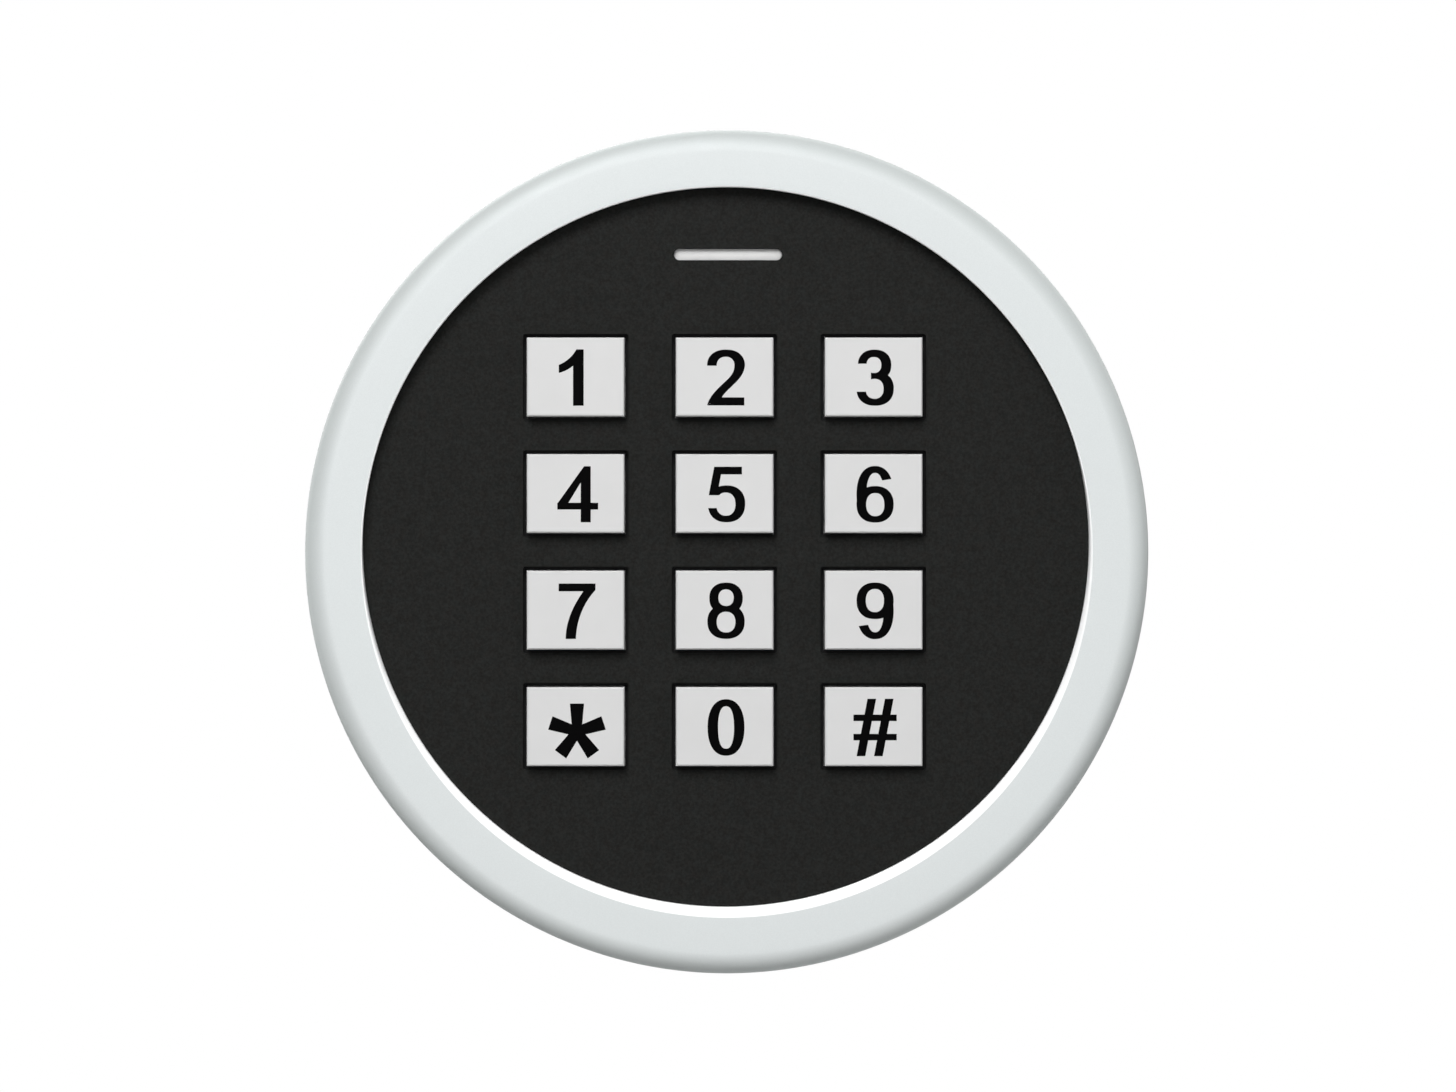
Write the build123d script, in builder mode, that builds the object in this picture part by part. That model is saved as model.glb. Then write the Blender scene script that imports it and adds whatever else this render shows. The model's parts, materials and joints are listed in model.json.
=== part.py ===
"""Round wall-mounted keypad access reader, built as separate pieces.

The wall is the plane Y = 0 and the user stands on the -Y side, with +Z up.
Heights are measured off the wall, so height h is the plane Y = -h.
The origin is the middle of the wall screw pattern on the wall plate's back face.
All sizes are in millimetres.
"""

import os
from math import cos, pi, sin, sqrt

from build123d import *

# ---------------------------------------------------------------- driving dimensions
outer_r = 43.0  # bezel ring, 86 mm across
depth = 24.0  # wall to the front of the ring
lip_r = 37.05  # front inner edge of the ring
lip_chamfer = 0.3
recess = 1.5  # ring front down to the face plate
outer_round = 2.35  # rounded front rim of the ring
rear_round = 0.4
foot_r = 36.84  # foot of the sloping inner wall, a circle set high and slightly left of centre
foot_x = -0.15
foot_z = 0.83
foot_land = 0.12  # upright band below the sloping wall
skirt_t = 1.6

seam_h = 9.0  # front housing meets rear housing
seam_gap = 0.1
rim_h = 0.3  # rear housing stands clear of the wall
fit_gap = 0.2  # slip fit between ring skirt and front housing
rear_r = 42.6

plate_t = 1.2  # face plate
deck_t = 1.8  # front housing deck behind it
wall_t = 2.0

key_w = 9.9
key_h = 8.0
pitch_x = 15.15
pitch_z = 11.85
block_x = -0.22  # middle of the key block
key_proud = 1.2  # key face above the face plate
key_travel = 0.9
key_gap = 0.42  # between a key and its window in the face plate
deck_gap = 0.12  # between a key and the closer window in the deck
key_chamfer = 0.14
key_wall = 1.2
key_hollow = 3.2  # depth of the moulded hollow behind the key face
key_stem_r = 2.0
key_rib_t = 0.9
flange_extra = 0.8  # retaining flange, each side
flange_t = 0.85
legend_t = 0.3  # second-shot legend, flush with the key face
legend_shift = (0.15, -0.08)

slot_w = 11.0  # light slot over the keys
slot_t = 1.14
slot_x = 0.12
slot_z = 30.3
bar_sink = 0.5  # light bar face below the plate face

board_t = 1.6
board_r = 38.4
mat_web = 1.0

hook_x = 12.0  # wall plate hooks
screw_pitch = 60.0  # wall box screws, centre to centre
wall_slot_w = 4.5
wall_slot_l = 8.0
steel_t = 1.2
cable_z = -8.0  # cable inlet
cable_r = 3.0

boss_r = 36.9  # circle of the four housing screws
boss_angle = 45.0
boss_web = 3.2  # joins a boss to the side wall

# ---------------------------------------------------------------- heights off the wall
plate_front = depth - recess
plate_back = plate_front - plate_t
deck_back = plate_back - deck_t
key_front = plate_front + key_proud
flange_front = deck_back - 0.05
flange_back = flange_front - flange_t
plunger_top = flange_back - 0.03
board_front = 14.4
board_back = board_front - board_t
web_top = board_front + mat_web
pad_t = 0.1
pill_back = board_front + pad_t + key_travel + 0.04
pill_front = pill_back + 0.5
back_wall_rear = 3.8
back_wall_front = 5.6
rear_top = seam_h - seam_gap

skirt_r = outer_r - skirt_t
front_r = skirt_r - fit_gap
front_inner_r = front_r - wall_t

key_names = ["1", "2", "3", "4", "5", "6", "7", "8", "9", "star", "0", "hash"]


def key_centre(index):
    """Centre of a key in X and Z, counted row by row from the top left."""
    row, column = divmod(index, 3)
    return block_x + (column - 1) * pitch_x, (1.5 - row) * pitch_z


key_centres = [key_centre(i) for i in range(len(key_names))]
slot_centre = (slot_x, slot_z)


def front_plane(height, x=0.0, z=0.0):
    """Plane parallel to the wall, facing the user, with its local y axis up."""
    return Plane(origin=(x, -height, z), x_dir=(1, 0, 0), z_dir=(0, -1, 0))


def profile_plane(x=0.0, z=0.0):
    """Plane through a front-to-back axis: local x is the radius, local y the height."""
    return Plane(origin=(x, 0, z), x_dir=(1, 0, 0), z_dir=(0, 0, -1))


def depth_axis(x=0.0, z=0.0):
    """Front-to-back axis through a point of the face."""
    return Axis((x, 0, z), (0, -1, 0))


def save(piece, label):
    """Labels a finished piece and writes it as its own STEP file."""
    piece.part.label = label
    export_step(piece.part, f"parts/{label}.step")


os.makedirs("parts", exist_ok=True)


# ---------------------------------------------------------------- key legends
# Grotesque numerals 5.7 mm high: upright strokes 1.05 mm, level strokes 0.78 mm.
def oval(width, height, x=0.0, z=0.0, mode=Mode.ADD, power=2.25, steps=24):
    """Squarish oval, the outline of a numeral's bowl."""
    points = []
    for i in range(steps):
        angle = 2 * pi * i / steps
        c, s = cos(angle), sin(angle)
        px = x + width / 2 * abs(c) ** (2 / power) * (1 if c >= 0 else -1)
        pz = z + height / 2 * abs(s) ** (2 / power) * (1 if s >= 0 else -1)
        points.append((px, pz))
    with BuildLine() as outline:
        Spline(*points, periodic=True)
    make_face(outline.edges(), mode=mode)


def patch(*points, mode=Mode.ADD):
    """Straight-sided face through the points."""
    with BuildLine() as outline:
        Polyline(*points, close=True)
    make_face(outline.edges(), mode=mode)


def stem_between(right, left):
    """Curved stem between two edges, both given from top to bottom."""
    with BuildLine() as outline:
        Spline(*right)
        Spline(*left)
        Line(right[0], left[0])
        Line(right[-1], left[-1])
    make_face(outline.edges())


def glyph_0():
    oval(3.75, 5.75)
    oval(1.62, 4.3, mode=Mode.SUBTRACT, power=2.4)


def glyph_1():
    patch((-0.4, -2.85), (0.68, -2.85), (0.68, 2.88), (-0.05, 2.88), (-0.4, 2.2))
    stem_between(
        [(-0.05, 2.88), (-0.75, 2.0), (-1.85, 1.3)],
        [(0.1, 1.75), (-0.75, 0.95), (-1.85, 0.48)],
    )


def glyph_2():
    oval(3.85, 3.3, z=1.21)
    oval(1.82, 1.85, x=-0.04, z=1.2, mode=Mode.SUBTRACT)
    patch((-2.2, 1.22), (0.9, 1.22), (0.9, -0.6), (-2.2, -0.6), mode=Mode.SUBTRACT)
    patch((0.8, 1.22), (2.2, 1.22), (2.2, -0.6), (0.8, -0.6), mode=Mode.SUBTRACT)
    stem_between(
        [(1.92, 1.25), (1.62, 0.3), (0.85, -0.62), (-0.05, -1.5), (-0.45, -2.03)],
        [(0.85, 1.25), (0.68, 0.5), (-0.2, -0.5), (-1.3, -1.62), (-1.92, -2.8)],
    )
    patch((-1.92, -2.82), (1.86, -2.82), (1.86, -2.0), (-0.6, -2.0), (-1.0, -2.3))


def glyph_3():
    oval(3.4, 3.15, x=-0.05, z=1.28)
    oval(3.8, 3.5, z=-1.1)
    oval(1.5, 1.62, x=-0.12, z=1.29, mode=Mode.SUBTRACT)
    oval(1.82, 2.02, x=-0.05, z=-1.13, mode=Mode.SUBTRACT)
    patch((0.9, 0.62), (1.5, 0.62), (1.3, 0.3), (1.5, -0.1), (0.9, -0.1))
    patch((-2.2, 1.42), (-0.42, 1.42), (-0.42, -1.42), (-2.2, -1.42), mode=Mode.SUBTRACT)


def glyph_4():
    patch((0.38, -2.85), (1.4, -2.85), (1.4, 2.85), (0.72, 2.85), (0.38, 2.3))
    patch((-2.0, -1.55), (2.15, -1.55), (2.15, -0.86), (-2.0, -0.86))
    patch((0.72, 2.85), (-2.0, -0.95), (-2.0, -1.2), (-0.95, -1.0), (0.45, 1.3))


def glyph_5():
    oval(3.8, 3.75, x=0.05, z=-0.97)
    oval(1.95, 2.35, x=-0.02, z=-1.0, mode=Mode.SUBTRACT)
    patch((-2.2, -0.1), (-0.3, -0.1), (-0.3, -1.4), (-2.2, -1.4), mode=Mode.SUBTRACT)
    flag = [(-1.2, 2.8), (1.62, 2.8), (1.62, 2.02), (-0.5, 2.02), (-0.75, 0.72)]
    patch(*flag, (-0.72, -0.1), (-1.76, -0.1))


def glyph_6():
    oval(3.78, 5.75)
    oval(1.75, 4.35, mode=Mode.SUBTRACT)
    patch((0.0, 1.38), (0.8, 1.42), (2.1, 1.6), (2.1, -2.9), (0.0, -2.9), mode=Mode.SUBTRACT)
    oval(3.78, 3.72, z=-1.02)
    oval(1.85, 2.35, x=0.02, z=-1.05, mode=Mode.SUBTRACT)


def glyph_7():
    patch((-1.86, 2.78), (1.88, 2.78), (1.88, 2.1), (0.9, 1.99), (-1.86, 1.99))
    stem_between(
        [(1.88, 2.12), (0.8, 0.6), (0.18, -0.95), (-0.1, -2.85)],
        [(0.72, 2.1), (-0.22, 0.6), (-0.86, -0.95), (-1.15, -2.85)],
    )


def glyph_8():
    oval(3.4, 3.2, z=1.28)
    oval(3.8, 3.5, z=-1.1)
    oval(1.55, 1.68, z=1.34, mode=Mode.SUBTRACT)
    oval(1.9, 2.1, z=-1.14, mode=Mode.SUBTRACT)


def glyph_9():
    oval(3.78, 5.75)
    oval(1.75, 4.35, mode=Mode.SUBTRACT)
    patch((0.0, -1.38), (-0.8, -1.42), (-2.1, -1.6), (-2.1, 2.9), (0.0, 2.9), mode=Mode.SUBTRACT)
    oval(3.78, 3.72, z=1.02)
    oval(1.85, 2.35, x=-0.02, z=1.05, mode=Mode.SUBTRACT)


def glyph_star(arms=5, length=2.85, drop=-0.42):
    """Five flared arms."""
    for i in range(arms):
        angle = pi / 2 + 2 * pi * i / arms
        along = Vector(cos(angle), sin(angle))
        across = Vector(-sin(angle), cos(angle))
        centre = Vector(0, drop)
        inner, outer = across * 0.48, across * 0.72
        tip = centre + along * length
        corners = [centre - inner, tip - outer, tip + outer, centre + inner]
        patch(*[(c.X, c.Y) for c in corners])


def glyph_hash(slant=0.19, spacing=1.77, bar_z=0.98):
    """Two level bars crossed by two leaning strokes."""
    for z in (bar_z, -bar_z):
        patch((-2.2, z - 0.33), (2.2, z - 0.33), (2.2, z + 0.33), (-2.2, z + 0.33))
    reach = 2.92
    for x in (-spacing / 2, spacing / 2):
        top, foot = x + slant * reach, x - slant * reach
        patch((foot - 0.44, -reach), (foot + 0.44, -reach), (top + 0.44, reach), (top - 0.44, reach))


glyphs = [glyph_1, glyph_2, glyph_3, glyph_4, glyph_5, glyph_6, glyph_7, glyph_8, glyph_9]
glyphs += [glyph_star, glyph_0, glyph_hash]


# ---------------------------------------------------------------- bezel ring
lug_h = 12.0  # snap lugs of the front housing, middle height
lug_w = 9.0
lug_t = 2.0
lug_out = 0.5
lug_play = 0.4  # room for a lug in its pocket, all round
lug_angles = [0, 90, 180, 270]


def lug_blocks(width, reach, thickness, mode):
    """Four blocks across the front housing's outer face, at the height of the snap lugs."""
    for angle in lug_angles:
        with BuildSketch(front_plane(lug_h - thickness / 2)) as block:
            with PolarLocations(front_r, 1, start_angle=angle):
                Rectangle(2 * reach, width)
        extrude(block.sketch, amount=thickness, mode=mode)


with BuildPart() as bezel_ring:
    with BuildSketch(front_plane(seam_h + fit_gap)):
        Circle(outer_r)
        Circle(skirt_r, mode=Mode.SUBTRACT)
    extrude(amount=plate_front - seam_h - fit_gap)
    with BuildSketch(front_plane(plate_front)):
        Circle(outer_r)
    extrude(amount=recess)
    fillet(bezel_ring.edges().filter_by(GeomType.CIRCLE).group_by(Axis.Y)[0], outer_round)
    with BuildSketch(front_plane(plate_front, foot_x, foot_z)):
        Circle(foot_r)
    extrude(amount=foot_land, mode=Mode.SUBTRACT)
    with BuildSketch(front_plane(plate_front + foot_land, foot_x, foot_z)):
        Circle(foot_r)
    with BuildSketch(front_plane(depth)):
        Circle(lip_r)
    loft(mode=Mode.SUBTRACT)
    front_edges = bezel_ring.edges().group_by(Axis.Y)[0]
    chamfer(front_edges.sort_by(SortBy.LENGTH)[0], lip_chamfer)
    rear_edges = bezel_ring.edges().group_by(Axis.Y)[-1]
    fillet(rear_edges.sort_by(SortBy.LENGTH)[-1], rear_round)
    lug_blocks(lug_w + 2 * lug_play, fit_gap + lug_out + 0.2, lug_t + 2 * lug_play, Mode.SUBTRACT)
save(bezel_ring, "bezel_ring")

# ---------------------------------------------------------------- face plate
plate_play = 0.3
window_round = 0.25
slot_play = 0.05  # round the light bar in the face plate

with BuildPart() as face_plate:
    with BuildSketch(front_plane(plate_back)):
        Circle(skirt_r - plate_play)
        with Locations(*key_centres):
            window = (key_w + 2 * key_gap, key_h + 2 * key_gap)
            RectangleRounded(*window, window_round, mode=Mode.SUBTRACT)
        with Locations(slot_centre):
            SlotOverall(slot_w + 2 * slot_play, slot_t + 2 * slot_play, mode=Mode.SUBTRACT)
    extrude(amount=plate_t)
save(face_plate, "face_plate")

# ---------------------------------------------------------------- front housing
standoffs = [(x, z) for x in (-26.0, 26.0) for z in (-12.0, 12.0)]
standoff_r = 2.2
pilot_r = 0.97  # holes of the board screws
pilot_l = 4.2
boss_out_r = 2.6  # bosses of the four housing screws
insert_r = 1.9
insert_l = 4.8
coil_in_r = 32.4  # reader coil, wound round a low rim on the deck
coil_out_r = 34.0
coil_rim_t = 0.8
coil_rim_h = 1.0
deck_slot_play = 0.15
bar_flange_w = 13.4
bar_flange_h = 2.8
bar_flange_t = 0.8
bar_flange_drop = 0.5
bar_tail_w = 10.0
bar_tail_t = 1.8
bar_tail_h = 1.3  # tail of the light bar above the board

with BuildPart() as front_housing:
    with BuildSketch(front_plane(deck_back)):
        Circle(front_r)
    extrude(amount=deck_t)
    with BuildSketch(front_plane(seam_h)):
        Circle(front_r)
        Circle(front_inner_r, mode=Mode.SUBTRACT)
        with PolarLocations(boss_r, 4, start_angle=boss_angle):
            Circle(boss_out_r)
            with Locations((boss_web / 2, 0)):
                Rectangle(boss_web, boss_web)
    extrude(amount=deck_back - seam_h)
    with BuildSketch(front_plane(board_front)):
        with Locations(*standoffs):
            Circle(standoff_r)
    extrude(amount=deck_back - board_front)
    with BuildSketch(front_plane(deck_back - coil_rim_h)):
        Circle(coil_in_r - 0.1)
        Circle(coil_in_r - 0.1 - coil_rim_t, mode=Mode.SUBTRACT)
        with Locations(slot_centre):
            Rectangle(bar_flange_w + 3.0, 8.0, mode=Mode.SUBTRACT)
    extrude(amount=coil_rim_h)
    lug_blocks(lug_w, lug_out, lug_t, Mode.ADD)
    with BuildSketch(front_plane(deck_back)):
        with Locations(*key_centres):
            Rectangle(key_w + 2 * deck_gap, key_h + 2 * deck_gap)
        with Locations(slot_centre):
            SlotOverall(slot_w + 2 * deck_slot_play, slot_t + 2 * deck_slot_play)
    extrude(amount=deck_t, mode=Mode.SUBTRACT)
    with BuildSketch(front_plane(seam_h)):
        with PolarLocations(boss_r, 4, start_angle=boss_angle):
            Circle(insert_r + 0.02)
    extrude(amount=insert_l + 0.6, mode=Mode.SUBTRACT)
    with BuildSketch(front_plane(board_front)):
        with Locations(*standoffs):
            Circle(pilot_r)
    extrude(amount=pilot_l, mode=Mode.SUBTRACT)
save(front_housing, "front_housing")

# ---------------------------------------------------------------- light bar
with BuildPart() as light_bar:
    with BuildSketch(front_plane(deck_back, *slot_centre)):
        SlotOverall(slot_w, slot_t)
    extrude(amount=plate_front - bar_sink - deck_back)
    with BuildSketch(front_plane(deck_back - bar_flange_t, slot_x, slot_z - bar_flange_drop)):
        RectangleRounded(bar_flange_w, bar_flange_h, 0.6)
    extrude(amount=bar_flange_t)
    with BuildSketch(front_plane(board_front + bar_tail_h, *slot_centre)):
        SlotOverall(bar_tail_w, bar_tail_t)
    extrude(amount=deck_back - bar_flange_t - board_front - bar_tail_h)
save(light_bar, "light_bar")


# ---------------------------------------------------------------- keys and legends
def legend_sketch(glyph, x, z):
    """Legend outline on the plane of the legend's foot."""
    plane = front_plane(key_front - legend_t, x + legend_shift[0], z + legend_shift[1])
    with BuildSketch(plane) as outline:
        glyph()
    return outline


def make_key(index):
    """One hard key cap with its retaining flange, hollow back and centre stem, and its legend."""
    x, z = key_centres[index]
    with BuildPart() as cap:
        with BuildSketch(front_plane(flange_back, x, z)):
            RectangleRounded(key_w + 2 * flange_extra, key_h + 2 * flange_extra, 0.5)
        extrude(amount=flange_t)
        with BuildSketch(front_plane(flange_back, x, z)):
            Rectangle(key_w, key_h)
        extrude(amount=key_front - flange_back)
        chamfer(cap.faces().sort_by(Axis.Y)[0].edges(), key_chamfer)
        with BuildSketch(front_plane(flange_back, x, z)):
            RectangleRounded(key_w - 2 * key_wall, key_h - 2 * key_wall, 0.6)
            Circle(key_stem_r, mode=Mode.SUBTRACT)
            Rectangle(key_rib_t, key_h, mode=Mode.SUBTRACT)
        extrude(amount=key_hollow, mode=Mode.SUBTRACT)
        outline = legend_sketch(glyphs[index], x, z)
        extrude(outline.sketch, amount=legend_t, mode=Mode.SUBTRACT)
    with BuildPart() as legend:
        extrude(legend_sketch(glyphs[index], x, z).sketch, amount=legend_t)
    save(cap, f"key_{key_names[index]}")
    save(legend, f"legend_{key_names[index]}")


for key_index in range(len(key_names)):
    make_key(key_index)

# ---------------------------------------------------------------- silicone key mat
mat_w = 43.0
mat_h = 47.0
mat_round = 4.0
dome_foot_r = 4.1
dome_in_r = 3.4
plunger_r = 2.6
pill_r = 1.75
pill_hold = 0.3  # the plunger grips the pill this deep

with BuildPart() as key_mat:
    with BuildSketch(front_plane(board_front)):
        RectangleRounded(mat_w, mat_h, mat_round)
        with Locations(*key_centres):
            Circle(dome_in_r, mode=Mode.SUBTRACT)
    extrude(amount=mat_web)
    for x, z in key_centres:
        with BuildSketch(profile_plane(x, z)):
            with BuildLine():
                Polyline(
                    (dome_in_r, board_front),
                    (dome_foot_r, board_front),
                    (dome_foot_r, web_top),
                    (plunger_r, web_top + 1.5),
                    (plunger_r, plunger_top),
                    (0, plunger_top),
                    (0, pill_front),
                    (pill_r, pill_front),
                    (pill_r, pill_front - pill_hold),
                    (pill_r + 0.35, pill_front - pill_hold),
                    (pill_r + 0.35, web_top + 1.25),
                    (dome_in_r, web_top - 0.05),
                    close=True,
                )
            make_face()
        revolve(axis=depth_axis(x, z))
save(key_mat, "key_mat")

with BuildPart() as contact_pills:
    with BuildSketch(front_plane(pill_back)):
        with Locations(*key_centres):
            Circle(pill_r - 0.02)
    extrude(amount=pill_front - pill_back)
save(contact_pills, "contact_pills")

# ---------------------------------------------------------------- main board and its parts
boss_notch_r = 3.2  # board notches round the bosses
with BuildPart() as main_board:
    with BuildSketch(front_plane(board_back)):
        Circle(board_r)
        with PolarLocations(boss_r, 4, start_angle=boss_angle):
            Circle(boss_notch_r, mode=Mode.SUBTRACT)
            with Locations((2.5, 0)):
                Rectangle(5.0, 2 * boss_notch_r, mode=Mode.SUBTRACT)
        with Locations(*standoffs):
            Circle(1.15, mode=Mode.SUBTRACT)
    extrude(amount=board_t)
save(main_board, "main_board")

pad_r = 2.6
pad_split = 0.4
with BuildPart() as contact_pads:
    with BuildSketch(front_plane(board_front)):
        with Locations(*key_centres):
            Circle(pad_r)
            Rectangle(pad_split, 2 * pad_r + 1, mode=Mode.SUBTRACT)
    extrude(amount=pad_t)
save(contact_pads, "contact_pads")

led_pitch = 3.4
led_spots = [(slot_x + step * led_pitch, slot_z) for step in (-1, 0, 1)]
led_body_h = 0.5
with BuildPart() as status_leds:
    with BuildSketch(front_plane(board_front)):
        with Locations(*led_spots):
            Rectangle(2.6, 1.5)
    extrude(amount=led_body_h)
    with BuildSketch(front_plane(board_front + led_body_h)):
        with Locations(*led_spots):
            Rectangle(1.8, 1.3)
    extrude(amount=0.5, taper=12)
save(status_leds, "status_leds")

coil_t = 1.8
coil_front = deck_back - 0.05
coil_tail_z = -(coil_in_r + coil_out_r) / 2
with BuildPart() as antenna_coil:
    with BuildSketch(profile_plane()):
        with Locations(((coil_in_r + coil_out_r) / 2, coil_front - coil_t / 2)):
            RectangleRounded(coil_out_r - coil_in_r, coil_t, 0.5)
    revolve(axis=depth_axis())
    with BuildSketch(front_plane(board_front)):
        with Locations((-1.0, coil_tail_z), (1.0, coil_tail_z)):
            Circle(0.25)
    extrude(amount=coil_front - coil_t / 2 - board_front)
save(antenna_coil, "antenna_coil")


def below_board(thickness, spot=(0.0, 0.0)):
    """Plane on the wall side of a part of that thickness soldered under the board."""
    return front_plane(board_back - thickness, *spot)


def chip(label, size, thickness, spot, edge):
    """Square moulded chip body soldered under the board, with a pin one mark dimple."""
    corner = size / 2 - 1.1
    with BuildPart() as body:
        with BuildSketch(below_board(thickness, spot)):
            Rectangle(size, size)
        extrude(amount=thickness - solder_t)
        chamfer(body.faces().sort_by(Axis.Y)[-1].edges(), edge)
        with BuildSketch(below_board(thickness, (spot[0] - corner, spot[1] + corner))):
            Circle(0.35)
        extrude(amount=0.1, mode=Mode.SUBTRACT)
    save(body, label)


solder_t = 0.08
mcu_size = 10.0
mcu_spot = (0.0, 7.0)
chip("microcontroller", mcu_size, 1.5, mcu_spot, 0.2)
chip("reader_chip", 6.0, 1.0, (-15.0, 1.0), 0.1)

lead_pitch = 0.8
lead_w = 0.35
lead_l = 1.0
lead_t = 0.2
leads_a_side = 11
with BuildPart() as microcontroller_leads:
    for side in range(4):
        sign = 1 if side < 2 else -1
        reach = sign * (mcu_size / 2 + 0.55)
        for k in range(leads_a_side):
            step = (k - (leads_a_side - 1) / 2) * lead_pitch
            x, z, w, h = (reach, step, lead_l, lead_w) if side % 2 == 0 else (step, reach, lead_w, lead_l)
            with BuildSketch(below_board(lead_t, (mcu_spot[0] + x, mcu_spot[1] + z))):
                Rectangle(w, h)
            extrude(amount=lead_t)
save(microcontroller_leads, "microcontroller_leads")

crystal_spot = (0.0, 18.5)
crystal_t = 3.4
crystal_base_t = 0.4
with BuildPart() as crystal:
    with BuildSketch(below_board(crystal_t, crystal_spot)):
        SlotOverall(11.2, 4.6)
    extrude(amount=crystal_t - crystal_base_t)
    fillet(crystal.faces().sort_by(Axis.Y)[-1].edges(), 0.6)
    with BuildSketch(below_board(crystal_base_t, crystal_spot)):
        SlotOverall(12.2, 5.4)
    extrude(amount=crystal_base_t)
save(crystal, "crystal")

relay_spot = (-16.5, 18.5)
relay_t = 6.0
relay_feet = 0.2
with BuildPart() as relay:
    with BuildSketch(below_board(relay_t, relay_spot)):
        RectangleRounded(15.0, 9.0, 0.5)
    extrude(amount=relay_t - relay_feet)
    fillet(relay.faces().sort_by(Axis.Y)[-1].edges(), 0.4)
    with BuildSketch(below_board(relay_feet, relay_spot)):
        with GridLocations(11.0, 7.0, 2, 2):
            Circle(0.6)
    extrude(amount=relay_feet)
save(relay, "relay")

buzzer_spot = (19.0, 17.5)
buzzer_r = 6.0
buzzer_t = 5.4
sound_hole_l = 1.0
with BuildPart() as buzzer:
    with BuildSketch(below_board(buzzer_t, buzzer_spot)):
        Circle(buzzer_r)
    extrude(amount=buzzer_t)
    with BuildSketch(below_board(buzzer_t, buzzer_spot)):
        Circle(1.0)
    extrude(amount=sound_hole_l, mode=Mode.SUBTRACT)
    fillet(buzzer.edges().group_by(Axis.Y)[-1].sort_by(SortBy.LENGTH)[-1], 0.4)
save(buzzer, "buzzer")

capacitor_spots = [(-27.0, 2.0), (27.0, 1.0), (18.5, 5.0)]
capacitor_t = 5.6
capacitor_base_t = 0.9
with BuildPart() as electrolytic_capacitors:
    with BuildSketch(below_board(capacitor_base_t)):
        with Locations(*capacitor_spots):
            RectangleRounded(6.6, 6.6, 0.6)
    extrude(amount=capacitor_base_t)
    with BuildSketch(below_board(capacitor_t)):
        with Locations(*capacitor_spots):
            Circle(3.1)
    extrude(amount=capacitor_t - capacitor_base_t)
    can_tops = electrolytic_capacitors.edges().filter_by(GeomType.CIRCLE).group_by(Axis.Y)[-1]
    fillet(can_tops, 0.5)
save(electrolytic_capacitors, "electrolytic_capacitors")

inductor_spot = (17.0, -5.0)
inductor_t = 3.0
with BuildPart() as inductor:
    with BuildSketch(below_board(inductor_t, inductor_spot)):
        RectangleRounded(6.2, 6.2, 1.4)
    extrude(amount=inductor_t)
    with BuildSketch(below_board(inductor_t, inductor_spot)):
        Circle(2.2)
    extrude(amount=0.25, mode=Mode.SUBTRACT)
save(inductor, "inductor")

tamper_spot = (-22.0, -14.0)
tamper_t = 4.6
lens_l = 1.6
with BuildPart() as tamper_sensor:
    with BuildSketch(below_board(tamper_t, tamper_spot)):
        RectangleRounded(4.2, 3.4, 0.3)
    extrude(amount=tamper_t)
    with BuildSketch(below_board(tamper_t, tamper_spot)):
        with Locations((-0.95, 0), (0.95, 0)):
            Circle(0.6)
    extrude(amount=lens_l, mode=Mode.SUBTRACT)
save(tamper_sensor, "tamper_sensor")

ways = 8
way_pitch = 3.5
terminal_t = 6.4
terminal_d = 7.0
terminal_z = -23.0
terminal_back = board_back - terminal_t
screw_well = 2.4  # depth of the round well over each clamp screw
wire_well = 4.6
clamp_r = 1.12
way_spots = [((k - (ways - 1) / 2) * way_pitch, terminal_z) for k in range(ways)]
with BuildPart() as terminal_block:
    with BuildSketch(front_plane(terminal_back, 0, terminal_z)):
        Rectangle(ways * way_pitch, terminal_d)
    extrude(amount=terminal_t)
    with BuildSketch(front_plane(terminal_back)):
        with Locations(*way_spots):
            Circle(clamp_r + 0.08)
    extrude(amount=screw_well, mode=Mode.SUBTRACT)
    for x, z in way_spots:
        mouth = (x, -terminal_back - 4.1, z + terminal_d / 2)
        with BuildSketch(Plane(origin=mouth, x_dir=(1, 0, 0), z_dir=(0, 0, -1))):
            RectangleRounded(2.4, 2.6, 0.3)
        extrude(amount=wire_well, mode=Mode.SUBTRACT)
save(terminal_block, "terminal_block")

clamp_sink = 0.4
with BuildPart() as terminal_screws:
    with BuildSketch(front_plane(terminal_back + clamp_sink)):
        with Locations(*way_spots):
            Circle(clamp_r)
    extrude(amount=1.8)
    with BuildSketch(front_plane(terminal_back + clamp_sink)):
        with Locations(*way_spots):
            Rectangle(2.0, 0.4)
    extrude(amount=0.6, mode=Mode.SUBTRACT)
save(terminal_screws, "terminal_screws")

resistor_t = 0.6
resistor_spots = [(x, z) for z in (-8.5, -13.0) for x in (-10.5, -7.5, 7.5, 10.5)]
resistor_spots += [(-7.9, 12.4), (-7.9, 9.4), (8.5, 13.0), (8.5, 10.0), (-9.0, -3.0), (9.0, -1.0)]
with BuildPart() as chip_resistors:
    with BuildSketch(below_board(resistor_t)):
        with Locations(*resistor_spots):
            Rectangle(2.0, 1.25)
    extrude(amount=resistor_t)
save(chip_resistors, "chip_resistors")


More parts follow.
